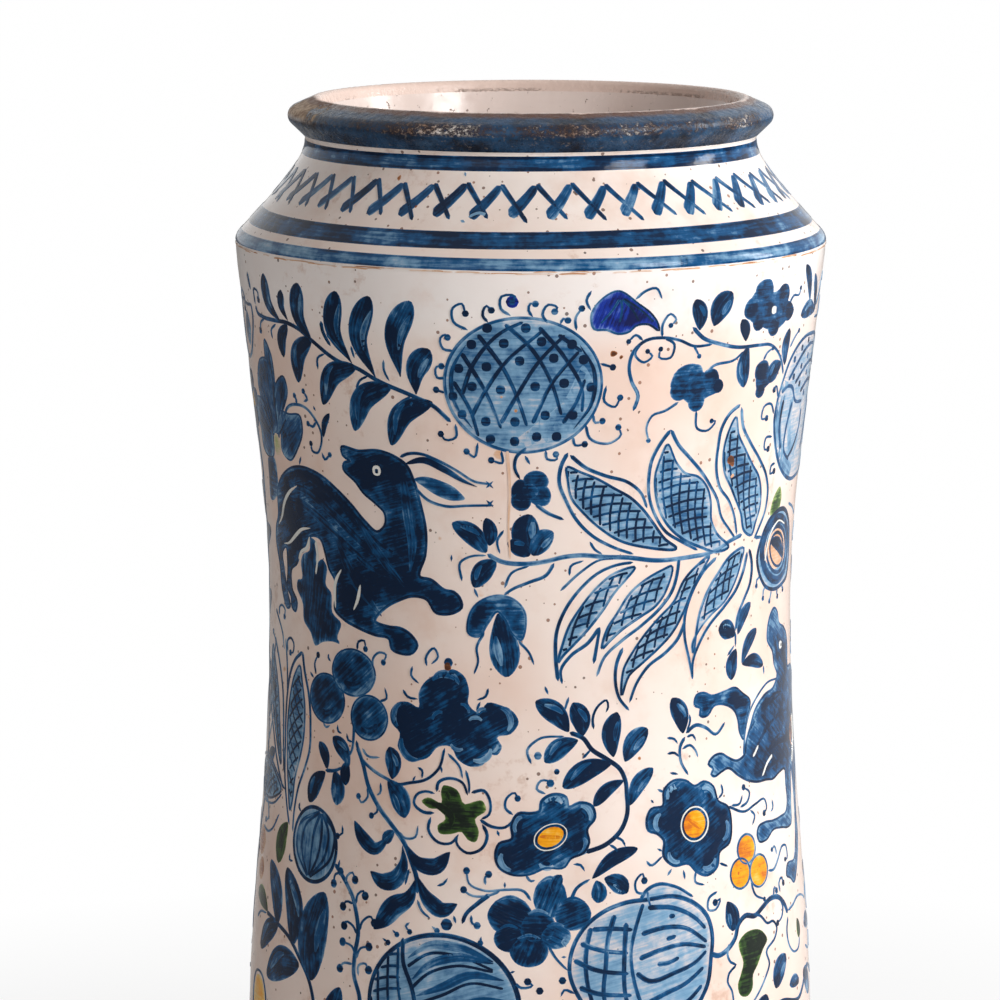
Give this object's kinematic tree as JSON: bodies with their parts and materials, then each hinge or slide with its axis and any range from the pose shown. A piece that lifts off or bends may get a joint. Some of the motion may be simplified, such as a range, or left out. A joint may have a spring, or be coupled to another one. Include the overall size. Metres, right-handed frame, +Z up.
{
  "type": "albarello",
  "caption": "Waisted tin-glazed apothecary jar with an edged shoulder and heel, a short neck, a rolled blue lip and an open mouth, painted all round.",
  "frame": {"origin": "centre of the foot ring's underside, on the surface that the jar stands on", "axes": "+Z up along the jar's axis; the jar is a body of revolution, and the side with the painted hare faces -Y"},
  "size_m": [0.1571, 0.157, 0.3],
  "materials": {
    "bare_clay": "unglazed pinkish buff earthenware, turned",
    "painted_white_glaze": "glossy warm white tin glaze with blue, green and yellow painting",
    "blue_rim_glaze": "glossy cobalt blue, worn to the buff on the lip's edge",
    "inner_glaze": "thin pinkish white glaze with throwing rings"
  },
  "bodies": {
    "root": {"foot_ring": "bare_clay", "base_disc": "bare_clay", "heel_wall": "bare_clay", "body_wall": "bare_clay", "shoulder_collar": "bare_clay", "neck_ring": "bare_clay", "lip_ring": "bare_clay", "outer_glaze": "painted_white_glaze", "rim_glaze": "blue_rim_glaze", "inner_glaze": "inner_glaze"}
  },
  "joints": []
}
